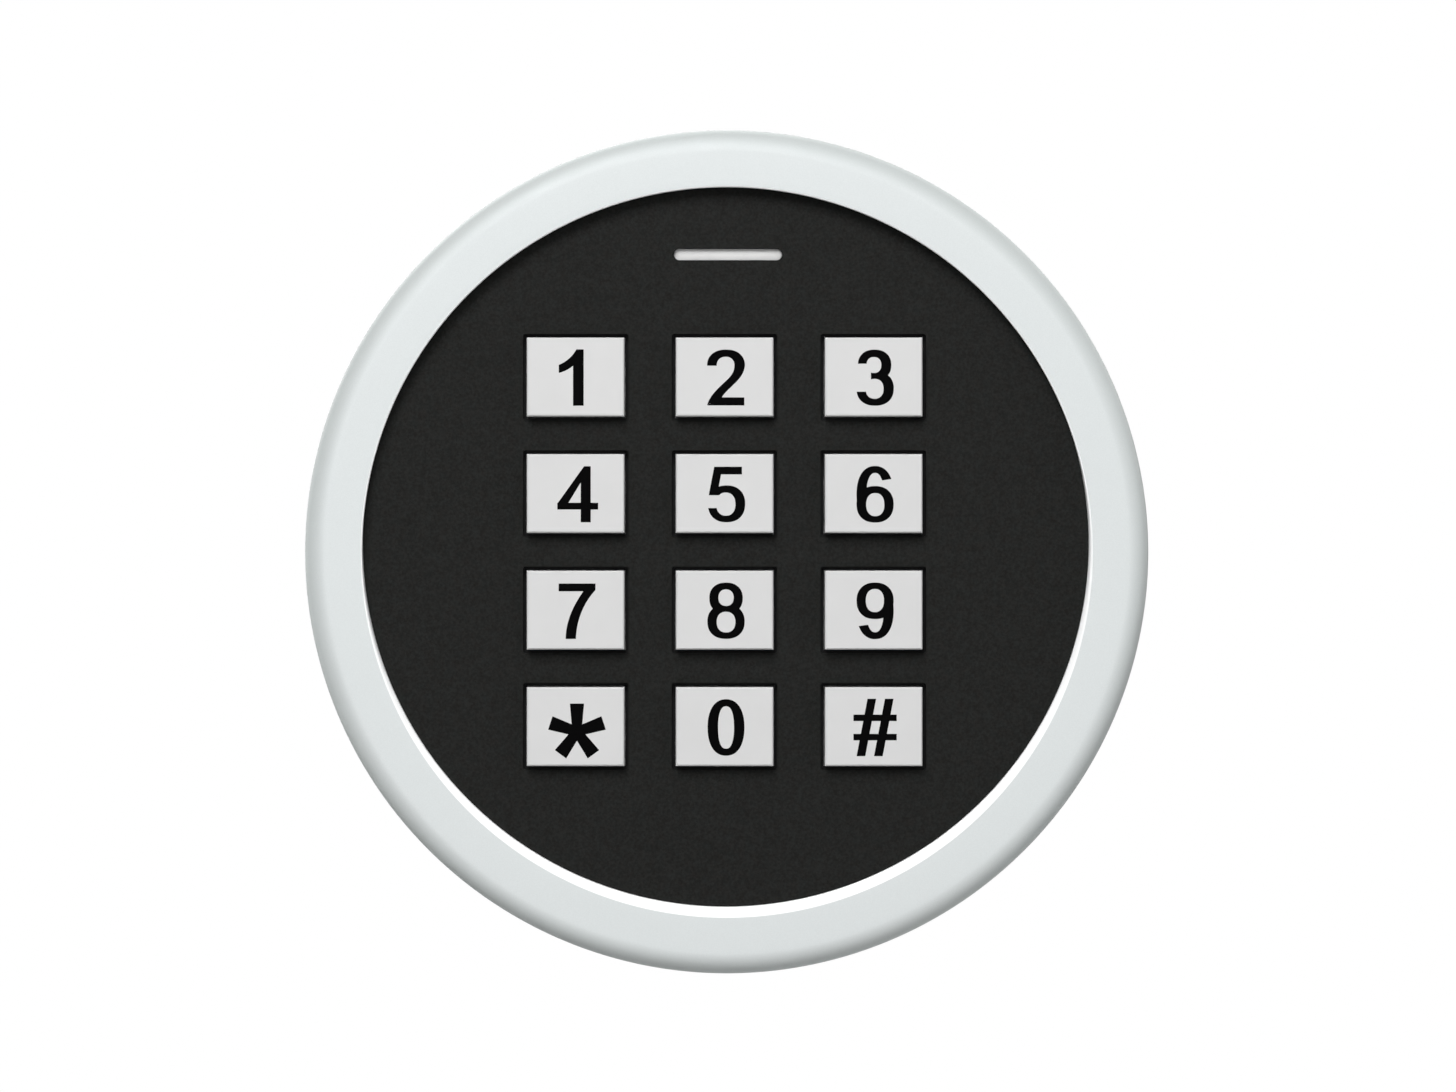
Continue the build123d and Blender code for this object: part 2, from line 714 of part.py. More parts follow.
# ---------------------------------------------------------------- screws and inserts
def screw_group(label, spots, head_back, head_r, head_t, shank_r, shank_l, drive_r):
    """Round-headed screws driven from the wall side, with a six-sided drive recess."""
    with BuildPart() as screws:
        with BuildSketch(front_plane(head_back)):
            with Locations(*spots):
                Circle(head_r)
        extrude(amount=head_t)
        fillet(screws.edges().group_by(Axis.Y)[-1], head_t * 0.3)
        with BuildSketch(front_plane(head_back + head_t)):
            with Locations(*spots):
                Circle(shank_r)
        extrude(amount=shank_l)
        chamfer(screws.edges().group_by(Axis.Y)[0], shank_r * 0.35)
        with BuildSketch(front_plane(head_back)):
            with Locations(*spots):
                RegularPolygon(drive_r, 6)
        extrude(amount=head_t * 0.6, mode=Mode.SUBTRACT)
    save(screws, label)


boss_step = boss_r / sqrt(2)
boss_spots = [(x, z) for x in (-boss_step, boss_step) for z in (-boss_step, boss_step)]
housing_head_t = 1.8
head_seat = back_wall_rear + 2.2  # foot of the counterbores in the rear housing
screw_group("board_screws", standoffs, board_back - 1.3, 1.9, 1.3, 0.95, 5.0, 0.8)
screw_group("housing_screws", boss_spots, head_seat - housing_head_t, 2.4, housing_head_t, 1.25, 7.4, 1.1)

insert_back = seam_h + 0.1
insert_groove_w = 0.8
insert_groove_t = 0.25
with BuildPart() as thread_inserts:
    with BuildSketch(front_plane(insert_back)):
        with Locations(*boss_spots):
            Circle(insert_r)
            Circle(1.29, mode=Mode.SUBTRACT)
    extrude(amount=insert_l)
    with BuildSketch(front_plane(insert_back + (insert_l - insert_groove_w) / 2)):
        with Locations(*boss_spots):
            Circle(insert_r)
            Circle(insert_r - insert_groove_t, mode=Mode.SUBTRACT)
    extrude(amount=insert_groove_w, mode=Mode.SUBTRACT)
save(thread_inserts, "thread_inserts")

# ---------------------------------------------------------------- rear housing
rear_edge_round = 1.0
recess_r = 39.0  # shallow recess that takes the wall plate
rear_inner_r = 39.2
groove_in_r = 39.9
groove_out_r = 40.9
groove_depth = 0.9
pillar_r = 2.9  # pillars round the housing screws
shank_hole_r = 1.4
head_hole_r = 2.6
hook_z = 31.0  # middle of a hook's stem
hook_w = 6.0
hook_slot_w = hook_w + 1.0
hook_room = 7.6
hook_pocket_t = 2.0
pocket_wall = 1.2
lug_z = -36.5  # middle of the wall plate's locking lug
lug_room_w = 12.0
lug_room_h = 5.5
lug_room_depth = 4.0
lock_h = 4.4  # height of the locking screw's axis
lock_head_r = 2.7
lock_shank_r = 1.5
grommet_neck_r = cable_r + 2.0
hook_spots = [(-hook_x, hook_z), (hook_x, hook_z)]
hook_slots = [(x, z - 1.3) for x, z in hook_spots]

with BuildPart() as rear_housing:
    with BuildSketch(front_plane(rim_h)):
        Circle(rear_r)
    extrude(amount=rear_top - rim_h)
    fillet(rear_housing.edges().group_by(Axis.Y)[-1], rear_edge_round)
    with BuildSketch(front_plane(rim_h)):
        Circle(recess_r)
    extrude(amount=back_wall_rear - rim_h, mode=Mode.SUBTRACT)
    with BuildSketch(front_plane(back_wall_front)):
        Circle(rear_inner_r)
        with PolarLocations(boss_r, 4, start_angle=boss_angle):
            Circle(pillar_r, mode=Mode.SUBTRACT)
        with Locations((0, lug_z + 0.6)):
            lug_box = (lug_room_w + 2 * pocket_wall, 7.6)
            Rectangle(*lug_box, mode=Mode.SUBTRACT)
        with Locations(*hook_spots):
            hook_box = (hook_slot_w + 2 * pocket_wall, hook_room + 1.6)
            Rectangle(*hook_box, mode=Mode.SUBTRACT)
    extrude(amount=rear_top - back_wall_front, mode=Mode.SUBTRACT)
    with BuildSketch(front_plane(back_wall_rear)):
        with Locations((0, lug_z + 0.25)):
            Rectangle(lug_room_w, lug_room_h)
    extrude(amount=lug_room_depth, mode=Mode.SUBTRACT)
    with BuildSketch(front_plane(back_wall_front)):
        with Locations(*hook_spots):
            Rectangle(hook_slot_w, hook_room)
    extrude(amount=hook_pocket_t, mode=Mode.SUBTRACT)
    with BuildSketch(front_plane(back_wall_rear)):
        with Locations(*hook_slots):
            Rectangle(hook_slot_w, 4.2)
        with Locations((0, cable_z)):
            Circle(grommet_neck_r)
        with Locations(tamper_spot):
            RectangleRounded(4.0, 2.4, 1.0)
    extrude(amount=back_wall_front - back_wall_rear, mode=Mode.SUBTRACT)
    with BuildSketch(front_plane(back_wall_rear)):
        with PolarLocations(boss_r, 4, start_angle=boss_angle):
            Circle(shank_hole_r)
    extrude(amount=rear_top - back_wall_rear, mode=Mode.SUBTRACT)
    with BuildSketch(front_plane(back_wall_rear)):
        with PolarLocations(boss_r, 4, start_angle=boss_angle):
            Circle(head_hole_r)
    extrude(amount=head_seat - back_wall_rear, mode=Mode.SUBTRACT)
    with BuildSketch(front_plane(rear_top - groove_depth)):
        Circle(groove_out_r)
        Circle(groove_in_r, mode=Mode.SUBTRACT)
    extrude(amount=groove_depth, mode=Mode.SUBTRACT)
    lock_plane = Plane(origin=(0, -lock_h, -rear_r - 1), x_dir=(1, 0, 0), z_dir=(0, 0, 1))
    with BuildSketch(lock_plane):
        Circle(lock_head_r + 0.2)
    extrude(amount=3.3, mode=Mode.SUBTRACT)
    with BuildSketch(lock_plane):
        Circle(lock_shank_r + 0.2)
    extrude(amount=rear_r - recess_r + 2.0, mode=Mode.SUBTRACT)
save(rear_housing, "rear_housing")

gasket_play = 0.05
with BuildPart() as housing_gasket:
    with BuildSketch(front_plane(rear_top - groove_depth + 0.02)):
        Circle(groove_out_r - gasket_play)
        Circle(groove_in_r + gasket_play, mode=Mode.SUBTRACT)
    extrude(amount=groove_depth + seam_gap - 0.03)
save(housing_gasket, "housing_gasket")

grommet_back_t = 0.9
grommet_front_t = 1.0
with BuildPart() as cable_grommet:
    with BuildSketch(front_plane(back_wall_rear - grommet_back_t, 0, cable_z)):
        Circle(grommet_neck_r + 1.4)
    extrude(amount=grommet_back_t)
    fillet(cable_grommet.edges().group_by(Axis.Y)[-1], 0.4)
    with BuildSketch(front_plane(back_wall_rear, 0, cable_z)):
        Circle(grommet_neck_r - 0.02)
    extrude(amount=back_wall_front - back_wall_rear)
    with BuildSketch(front_plane(back_wall_front, 0, cable_z)):
        Circle(grommet_neck_r + 1.0)
    extrude(amount=grommet_front_t, taper=20)
    with BuildSketch(front_plane(back_wall_rear - grommet_back_t, 0, cable_z)):
        Circle(cable_r)
    extrude(amount=grommet_back_t + back_wall_front - back_wall_rear + grommet_front_t, mode=Mode.SUBTRACT)
save(cable_grommet, "cable_grommet")

# ---------------------------------------------------------------- wall plate
plate_r = recess_r - 0.5
wire_hole_r = 17.0
wire_hole_z = -3.0
half_pitch = screw_pitch / 2
hook_reach = 3.0
hook_h = back_wall_front + 0.2  # height of a hook's tongue
lug_plate_w = 10.0
lock_thread_r = lock_shank_r + 0.02
with BuildPart() as wall_plate:
    with BuildSketch(front_plane(0)):
        Circle(plate_r)
        with Locations((0, wire_hole_z)):
            Circle(wire_hole_r, mode=Mode.SUBTRACT)
        with Locations((-half_pitch, 0), (half_pitch, 0)):
            SlotOverall(wall_slot_l, wall_slot_w, mode=Mode.SUBTRACT)
        with Locations((0, -half_pitch), (0, half_pitch)):
            SlotOverall(wall_slot_l, wall_slot_w, rotation=90, mode=Mode.SUBTRACT)
    extrude(amount=steel_t)
    for x, z in hook_spots:
        with BuildSketch(front_plane(0, x, z)):
            Rectangle(hook_w, steel_t)
        extrude(amount=hook_h + steel_t)
        with BuildSketch(front_plane(hook_h, x, z + hook_reach / 2)):
            Rectangle(hook_w, steel_t + hook_reach)
        extrude(amount=steel_t)
    with BuildSketch(front_plane(0, 0, lug_z)):
        Rectangle(lug_plate_w, steel_t)
    extrude(amount=lock_h + 3.0)
    with BuildSketch(Plane(origin=(0, -lock_h, lug_z - steel_t), x_dir=(1, 0, 0), z_dir=(0, 0, 1))):
        Circle(lock_thread_r)
    extrude(amount=2 * steel_t, mode=Mode.SUBTRACT)
save(wall_plate, "wall_plate")

lock_head_t = 2.0
with BuildPart() as security_screw:
    screw_plane = Plane(origin=(0, -lock_h, -rear_r + 0.3), x_dir=(1, 0, 0), z_dir=(0, 0, 1))
    with BuildSketch(screw_plane):
        Circle(lock_head_r)
    extrude(amount=lock_head_t)
    fillet(security_screw.edges().group_by(Axis.Z)[0], 0.5)
    with BuildSketch(screw_plane.offset(lock_head_t)):
        Circle(lock_shank_r)
    extrude(amount=6.2)
    chamfer(security_screw.edges().group_by(Axis.Z)[-1], 0.4)
    with BuildSketch(screw_plane):
        RegularPolygon(1.3, 6)
        Circle(0.5, mode=Mode.SUBTRACT)
    extrude(amount=1.3, mode=Mode.SUBTRACT)
save(security_screw, "security_screw")
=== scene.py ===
"""Looks of the keypad access reader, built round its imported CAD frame.

Metres. The wall is the plane Y = 0 and the user stands on the -Y side, +Z up.
"""

import json
from math import cos, pi, radians, sin, sqrt

import bmesh
import bpy
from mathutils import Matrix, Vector


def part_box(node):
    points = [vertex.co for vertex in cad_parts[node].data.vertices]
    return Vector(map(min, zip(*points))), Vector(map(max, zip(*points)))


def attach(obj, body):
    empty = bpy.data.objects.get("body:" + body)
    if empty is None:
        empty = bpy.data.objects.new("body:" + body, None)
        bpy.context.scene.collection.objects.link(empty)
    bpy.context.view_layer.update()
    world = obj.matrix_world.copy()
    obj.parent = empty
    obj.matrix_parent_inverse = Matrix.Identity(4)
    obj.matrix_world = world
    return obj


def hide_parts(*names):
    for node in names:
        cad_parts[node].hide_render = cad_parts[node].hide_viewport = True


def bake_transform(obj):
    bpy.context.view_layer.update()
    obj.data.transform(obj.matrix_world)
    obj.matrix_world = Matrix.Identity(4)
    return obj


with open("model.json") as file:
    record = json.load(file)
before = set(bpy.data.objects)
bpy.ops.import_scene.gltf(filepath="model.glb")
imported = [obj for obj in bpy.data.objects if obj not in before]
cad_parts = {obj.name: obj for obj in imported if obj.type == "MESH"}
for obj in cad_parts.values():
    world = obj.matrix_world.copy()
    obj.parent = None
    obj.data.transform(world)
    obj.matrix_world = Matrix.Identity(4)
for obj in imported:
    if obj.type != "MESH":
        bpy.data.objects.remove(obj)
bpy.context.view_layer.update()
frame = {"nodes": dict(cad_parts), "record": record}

MM = 0.001
SAME_POINT = 1e-7  # metres; points closer than this are one point
slot_of = {s["node"]: s["material_slot"] for s in frame["record"]["subparts"]}


# ---------------------------------------------------------------- node helpers
CLOUDS = (0.3, 0.7)  # range that nearly all values of a noise fall in
SPECKS = (0.35, 0.65)  # narrower range, for a noise with more contrast
MIX_A, MIX_B, MIX_OUT = 6, 7, 2  # colour sockets of the Mix node


class Shader:
    """A node material under construction: a Principled shader and short ways to feed it."""

    def __init__(self, name, colour, roughness, metallic=0.0, **sockets):
        self.material = bpy.data.materials.new(name)
        self.material.use_nodes = True
        self.tree = self.material.node_tree
        self.principled = self.tree.nodes["Principled BSDF"]
        self.set("Base Color", (*colour, 1.0))
        self.set("Roughness", roughness)
        self.set("Metallic", metallic)
        for socket, value in sockets.items():
            self.set(socket.replace("_", " "), value)
        self.colour = colour
        self.roughness = roughness
        self.place = self.node("ShaderNodeTexCoord").outputs["Object"]

    def node(self, kind, **settings):
        made = self.tree.nodes.new(kind)
        for key, value in settings.items():
            setattr(made, key, value)
        return made

    def link(self, source, target):
        self.tree.links.new(source, target)

    def set(self, socket, value):
        self.principled.inputs[socket].default_value = value

    def noise(self, size_mm, detail=3.0, rough=0.5, stretch=(1, 1, 1)):
        """Noise whose features are about size_mm across."""
        mapping = self.node("ShaderNodeMapping")
        mapping.inputs["Scale"].default_value = [s / (size_mm * MM) for s in stretch]
        self.link(self.place, mapping.inputs["Vector"])
        texture = self.node("ShaderNodeTexNoise")
        texture.inputs["Scale"].default_value = 1.0
        texture.inputs["Detail"].default_value = detail
        texture.inputs["Roughness"].default_value = rough
        self.link(mapping.outputs["Vector"], texture.inputs["Vector"])
        return texture.outputs["Fac"]

    def ramp(self, source, low, high, out_low=0.0, out_high=1.0):
        """Maps source from low..high to out_low..out_high."""
        node = self.node("ShaderNodeMapRange")
        node.inputs["From Min"].default_value = low
        node.inputs["From Max"].default_value = high
        node.inputs["To Min"].default_value = out_low
        node.inputs["To Max"].default_value = out_high
        self.link(source, node.inputs["Value"])
        return node.outputs["Result"]

    def mix(self, factor, first, second):
        """Colour between first and second."""
        node = self.node("ShaderNodeMix", data_type="RGBA")
        self.link(factor, node.inputs["Factor"])
        for socket, value in ((node.inputs[MIX_A], first), (node.inputs[MIX_B], second)):
            if isinstance(value, tuple):
                socket.default_value = (*value, 1.0)
            else:
                self.link(value, socket)
        return node.outputs[MIX_OUT]

    def mottle(self, size_mm, amount):
        """Slight light and dark clouding of the base colour."""
        light = tuple(min(1.0, c * (1 + amount)) for c in self.colour)
        dark = tuple(c * (1 - amount) for c in self.colour)
        factor = self.ramp(self.noise(size_mm, 4.0), *CLOUDS)
        self.link(self.mix(factor, dark, light), self.principled.inputs["Base Color"])

    def vary_roughness(self, size_mm, amount):
        """Patches of slightly higher and lower roughness."""
        low, high = self.roughness - amount, self.roughness + amount
        value = self.ramp(self.noise(size_mm), *CLOUDS, low, high)
        self.link(value, self.principled.inputs["Roughness"])

    def bump(self, layers):
        """Bump from layers of (height source, depth in mm), added together."""
        normal = None
        for source, depth_mm in layers:
            node = self.node("ShaderNodeBump")
            node.inputs["Strength"].default_value = 1.0
            node.inputs["Distance"].default_value = depth_mm * MM
            self.link(source, node.inputs["Height"])
            if normal is not None:
                self.link(normal, node.inputs["Normal"])
            normal = node.outputs["Normal"]
        self.link(normal, self.principled.inputs["Normal"])


# ---------------------------------------------------------------- materials
RIM_SHADE_R = (40.9, 42.5)  # mm; painted shade: the paint darkens between these radii, standing in for the shading of the rounded rim


def satin_paint():
    """Pale silver paint: very fine flake, a trace of orange peel, and painted shade that darkens
    the rounded rim.
    """
    s = Shader("ring_paint", (0.72, 0.747, 0.748), 0.6, 0.1, IOR=1.4, Diffuse_Roughness=1.0)
    flatten = s.node("ShaderNodeVectorMath", operation="MULTIPLY")
    flatten.inputs[1].default_value = (1, 0, 1)
    radius = s.node("ShaderNodeVectorMath", operation="LENGTH")
    s.link(s.place, flatten.inputs[0])
    s.link(flatten.outputs[0], radius.inputs[0])
    # painted shade: the base colour turns darker over the rounded outer rim
    rim_shade_mask = s.ramp(radius.outputs["Value"], RIM_SHADE_R[0] * MM, RIM_SHADE_R[1] * MM)
    flake = s.ramp(s.noise(0.09, 2.0), *SPECKS)
    face_tone = s.mix(flake, (0.695, 0.722, 0.723), (0.725, 0.752, 0.753))
    rim_shaded_tone = s.mix(flake, (0.50, 0.53, 0.525), (0.53, 0.56, 0.555))
    s.link(s.mix(rim_shade_mask, face_tone, rim_shaded_tone), s.principled.inputs["Base Color"])
    s.vary_roughness(2.5, 0.03)
    s.bump([(s.noise(0.12, 2.0), 0.0016), (s.noise(1.4, 2.0), 0.004)])
    return s.material


def face_texture():
    """Black powder coat of the face plate: fine pebble, with faint warm and cool specks."""
    s = Shader("face_black", (0.0115, 0.0120, 0.0112), 0.7, Specular_IOR_Level=0.1)
    cloud = s.ramp(s.noise(0.9, 5.0, 0.65), *SPECKS)
    speck = s.ramp(s.noise(0.28, 3.0, 0.6), *SPECKS)
    warm = s.mix(speck, (0.0082, 0.0080, 0.0070), (0.0144, 0.0140, 0.0128))
    cool = s.mix(speck, (0.0090, 0.0102, 0.0096), (0.0146, 0.0160, 0.0152))
    s.link(s.mix(cloud, warm, cool), s.principled.inputs["Base Color"])
    s.vary_roughness(1.1, 0.05)
    s.bump([(s.noise(0.16, 3.0, 0.6), 0.018), (s.noise(0.55, 2.0), 0.014)])
    return s.material


def textured_plastic(name, colour, roughness, grain_mm, depth_mm, **sockets):
    """Moulded plastic with a spark-eroded grain, and a coarser, shallower one under it."""
    s = Shader(name, colour, roughness, IOR=1.46, **sockets)
    s.mottle(6.0, 0.10)
    s.vary_roughness(3.0, 0.04)
    fine = s.noise(grain_mm, 3.0, 0.6)
    coarse = s.noise(grain_mm * 3.2, 2.0)
    s.bump([(fine, depth_mm), (coarse, depth_mm * 0.7)])
    return s.material


def smooth_plastic(name, colour, roughness, mottle=0.015, **sockets):
    """Smooth moulded plastic, with faint flow and polish marks."""
    s = Shader(name, colour, roughness, **sockets)
    s.mottle(4.0, mottle)
    s.vary_roughness(1.6, 0.035)
    s.bump([(s.noise(0.25, 2.0), 0.0012), (s.noise(2.6, 2.0), 0.004)])
    return s.material


def rubber(name, colour, roughness=0.62):
    """Moulded rubber with a dusty, uneven sheen."""
    s = Shader(name, colour, roughness, IOR=1.5, Sheen_Weight=0.15)
    s.mottle(1.8, 0.14)
    s.vary_roughness(0.9, 0.08)
    s.bump([(s.noise(0.18, 4.0), 0.006)])
    return s.material


def plated_metal(name, colour, roughness, spangle_mm, grain=(1, 1, 1), depth_mm=0.002):
    """Plated or drawn metal: cloudy plating and a directional grain."""
    s = Shader(name, colour, roughness, 1.0)
    s.mottle(spangle_mm, 0.07)
    s.vary_roughness(spangle_mm * 0.6, 0.07)
    s.bump([(s.noise(0.35, 3.0, 0.6, grain), depth_mm), (s.noise(spangle_mm, 2.0), depth_mm)])
    return s.material


def milky_diffuser():
    """Milky moulded diffuser of the light bar, unlit."""
    s = Shader("light_diffuser", (0.70, 0.70, 0.695), 0.32, IOR=1.5, Subsurface_Weight=0.25)
    s.set("Subsurface Radius", (0.4, 0.4, 0.38))
    s.set("Subsurface Scale", 0.6 * MM)
    s.mottle(2.2, 0.03)
    s.vary_roughness(0.8, 0.05)
    s.bump([(s.noise(0.16, 3.0), 0.003)])
    return s.material


BOARD_PATCH = 8.0  # mm; size of the faint areas between the board's tracks
WIRE_PITCH = 0.22  # mm; pitch of the turns of the copper windings


def circuit_board():
    """Green solder mask with faint track relief and fine unevenness."""
    s = Shader("board_green", (0.012, 0.115, 0.045), 0.3, IOR=1.52, Coat_Weight=0.3)
    tracks = s.node("ShaderNodeTexBrick", offset=0.5)
    tracks.inputs["Scale"].default_value = 1 / (BOARD_PATCH * MM)
    tracks.inputs["Mortar Size"].default_value = 0.05
    turn = s.node("ShaderNodeMapping")
    turn.inputs["Rotation"].default_value = (radians(90), 0, 0)
    s.link(s.place, turn.inputs["Vector"])
    s.link(turn.outputs["Vector"], tracks.inputs["Vector"])
    colour = s.mix(tracks.outputs["Fac"], (0.011, 0.110, 0.042), (0.014, 0.128, 0.050))
    s.link(colour, s.principled.inputs["Base Color"])
    s.vary_roughness(1.2, 0.05)
    s.bump([(tracks.outputs["Fac"], 0.01), (s.noise(0.5, 2.0), 0.004)])
    return s.material


def wound_copper():
    """Enamelled copper wire, wound in fine turns."""
    s = Shader("copper_wire", (0.70, 0.30, 0.14), 0.28, 1.0, Coat_Weight=0.6)
    s.mottle(0.8, 0.12)
    s.vary_roughness(0.6, 0.06)
    separate = s.node("ShaderNodeSeparateXYZ")
    s.link(s.place, separate.inputs["Vector"])
    wave = s.node("ShaderNodeMath", operation="SINE")
    scale = s.node("ShaderNodeMath", operation="MULTIPLY")
    scale.inputs[1].default_value = 2 * pi / (WIRE_PITCH * MM)
    s.link(separate.outputs["Y"], scale.inputs[0])
    s.link(scale.outputs[0], wave.inputs[0])
    s.bump([(wave.outputs[0], 0.03), (s.noise(0.4, 2.0), 0.01)])
    return s.material


def ferrite():
    """Dull grey sintered ferrite."""
    s = Shader("ferrite_grey", (0.10, 0.10, 0.105), 0.7, 0.2)
    s.mottle(0.5, 0.2)
    s.vary_roughness(0.7, 0.08)
    s.bump([(s.noise(0.15, 5.0, 0.7), 0.02)])
    return s.material


materials = {
    "ring_paint": satin_paint(),
    # painted highlight: a paler paint for the ring's inner bevel and lip edge, standing in for
    # the bright light they catch
    "ring_bevel_highlight": smooth_plastic("ring_bevel_highlight", (0.93, 0.935, 0.935), 0.35, 0.01, IOR=1.45),
    "face_black": face_texture(),
    "housing_black": textured_plastic(
        "housing_black", (0.007, 0.007, 0.0075), 0.6, 0.3, 0.012, Specular_IOR_Level=0.25
    ),
    "rear_black": textured_plastic("rear_black", (0.024, 0.025, 0.027), 0.58, 0.24, 0.02),
    "light_diffuser": milky_diffuser(),
    "key_grey": smooth_plastic("key_grey", (0.597, 0.597, 0.596), 0.48, 0.012, IOR=1.46),
    "legend_black": smooth_plastic(
        "legend_black", (0.0016, 0.0016, 0.0017), 0.6, 0.1, Specular_IOR_Level=0.02
    ),
    "silicone_grey": rubber("silicone_grey", (0.42, 0.43, 0.44), 0.55),
    "carbon_black": rubber("carbon_black", (0.014, 0.014, 0.014), 0.75),
    "gold_plating": plated_metal("gold_plating", (0.83, 0.58, 0.22), 0.25, 0.8),
    "board_green": circuit_board(),
    "led_white": smooth_plastic("led_white", (0.80, 0.79, 0.68), 0.25, 0.03, Coat_Weight=0.5),
    "copper_wire": wound_copper(),
    "chip_black": textured_plastic("chip_black", (0.018, 0.018, 0.019), 0.5, 0.1, 0.006),
    "tinned_leads": plated_metal("tinned_leads", (0.72, 0.72, 0.71), 0.38, 0.4),
    "can_steel": plated_metal("can_steel", (0.64, 0.63, 0.62), 0.28, 2.0, (1, 6, 1)),
    "relay_cream": smooth_plastic("relay_cream", (0.74, 0.72, 0.65), 0.33, 0.02),
    "buzzer_black": textured_plastic("buzzer_black", (0.014, 0.014, 0.015), 0.42, 0.2, 0.006),
    "can_aluminium": plated_metal("can_aluminium", (0.74, 0.74, 0.76), 0.3, 1.2, (1, 8, 1)),
    "ferrite_grey": ferrite(),
    "terminal_green": smooth_plastic("terminal_green", (0.02, 0.22, 0.07), 0.36, 0.03),
    "screw_steel": plated_metal("screw_steel", (0.56, 0.57, 0.58), 0.3, 0.7),
    "insert_brass": plated_metal("insert_brass", (0.72, 0.52, 0.20), 0.3, 0.6),
    "gasket_black": rubber("gasket_black", (0.02, 0.02, 0.021)),
    "grommet_black": rubber("grommet_black", (0.018, 0.018, 0.018), 0.58),
    "plate_zinc": plated_metal("plate_zinc", (0.66, 0.68, 0.70), 0.42, 5.0, (1, 1, 5), 0.003),
    "security_steel": plated_metal("security_steel", (0.58, 0.57, 0.56), 0.25, 0.9),
}


def paint(piece, slot):
    """Gives the piece one material, named by its slot."""
    piece.data.materials.clear()
    piece.data.materials.append(materials[slot])


CREASE_ANGLE = 32.0  # degrees; faces that meet at more keep a crease
ROUNDED_ANGLE = 40.0  # degrees; edges sharper than this are rounded
WELD_REACH = 1e-6  # metres; closes the seams between the CAD mesh's faces


def soften(piece):
    """Smooth shading between faces, except across creases."""
    for polygon in piece.data.polygons:
        polygon.use_smooth = True
    piece.data.set_sharp_from_angle(angle=radians(CREASE_ANGLE))


def break_edges(piece, width_mm):
    """Slightly rounded edges, as moulding, stamping or turning leaves them."""
    weld = piece.modifiers.new("join", "WELD")
    weld.merge_threshold = WELD_REACH
    edge = piece.modifiers.new("edge", "BEVEL")
    edge.width = width_mm * MM
    edge.segments = 2
    edge.limit_method = "ANGLE"
    edge.angle_limit = radians(ROUNDED_ANGLE)
    edge.use_clamp_overlap = True
    edge.harden_normals = True


BROKEN_EDGES = {  # width in mm
    "wall_plate": 0.12,
    "rear_housing": 0.12,
    "light_bar": 0.06,
    "relay": 0.1,
    "terminal_block": 0.1,
    "terminal_screws": 0.06,
    "security_screw": 0.08,
    "housing_screws": 0.06,
}

for node_name, piece in frame["nodes"].items():
    paint(piece, slot_of[node_name])
    soften(piece)
for node_name, width in BROKEN_EDGES.items():
    break_edges(frame["nodes"][node_name], width)


# ---------------------------------------------------------------- turned pieces
def arc(centre, radius, start, end, steps):
    """Points of an arc in a profile of (radius, height), angles in degrees."""
    points = []
    for i in range(steps + 1):
        a = radians(start + (end - start) * i / steps)
        points.append((centre[0] + radius * cos(a), centre[1] + radius * sin(a)))
    return points


def turned(name, profile_at, segments, centre=(0.0, 0.0)):
    """Closed profile swept round a front-to-back axis through the centre.

    profile_at(angle) gives its points as (radius, height above the wall). All in mm.
    """
    mesh = bpy.data.meshes.new(name)
    bm = bmesh.new()
    rings = []
    for i in range(segments):
        angle = 2 * pi * i / segments
        ring = []
        for radius, height in profile_at(angle):
            x = centre[0] + radius * cos(angle)
            z = centre[1] + radius * sin(angle)
            ring.append(bm.verts.new((x * MM, -height * MM, z * MM)))
        rings.append(ring)
    count = len(rings[0])
    for i in range(segments):
        here, beyond = rings[i], rings[(i + 1) % segments]
        for j in range(count):
            k = (j + 1) % count
            bm.faces.new((here[j], beyond[j], beyond[k], here[k]))
    bmesh.ops.remove_doubles(bm, verts=bm.verts, dist=SAME_POINT)
    bmesh.ops.dissolve_degenerate(bm, edges=bm.edges, dist=SAME_POINT)
    bmesh.ops.recalc_face_normals(bm, faces=bm.faces)
    bm.to_mesh(mesh)
    bm.free()
    piece = bpy.data.objects.new(name, mesh)
    bpy.context.scene.collection.objects.link(piece)
    return piece


def stand_for(piece, node):
    """The piece takes a CAD node's place and material."""
    paint(piece, slot_of[node])
    soften(piece)
    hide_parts(node)


# Sizes of the ring in mm. R is a radius, H a height above the wall.
ring_low, ring_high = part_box("bezel_ring")
OUTER_R = 43.0
FRONT_H = -ring_low.y / MM
RING_BACK_H = -ring_high.y / MM
PLATE_H = -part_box("face_plate")[0].y / MM
SKIRT_R = OUTER_R - 1.6
LIP_R = 37.05
OUTER_ROUND = 2.35
OUTER_STEPS = 18
LIP_EDGE = 0.22  # rounding where the front face meets the inner bevel
LIP_STEPS = 5
FACE_START_R = LIP_R + 4 * LIP_EDGE
HIGHLIGHT_END_R = LIP_R + 0.75 * LIP_EDGE  # painted highlight: the paler paint on the bevel and lip edge ends here
FOOT_R = 36.96  # circle where the inner wall meets the face plate
FOOT_X = -0.10  # its centre, off the ring's
FOOT_Z = 0.83
LAND = 0.12  # height of the eased foot of the inner wall
BEVEL_DEPTH = 0.45  # from the ring's front to the top of the upright inner wall
BACK_ROUND = 0.4
BACK_STEPS = 4
SKIRT_EASE = 0.3
BACK_EASE = 0.15
RING_SEGMENTS = 360


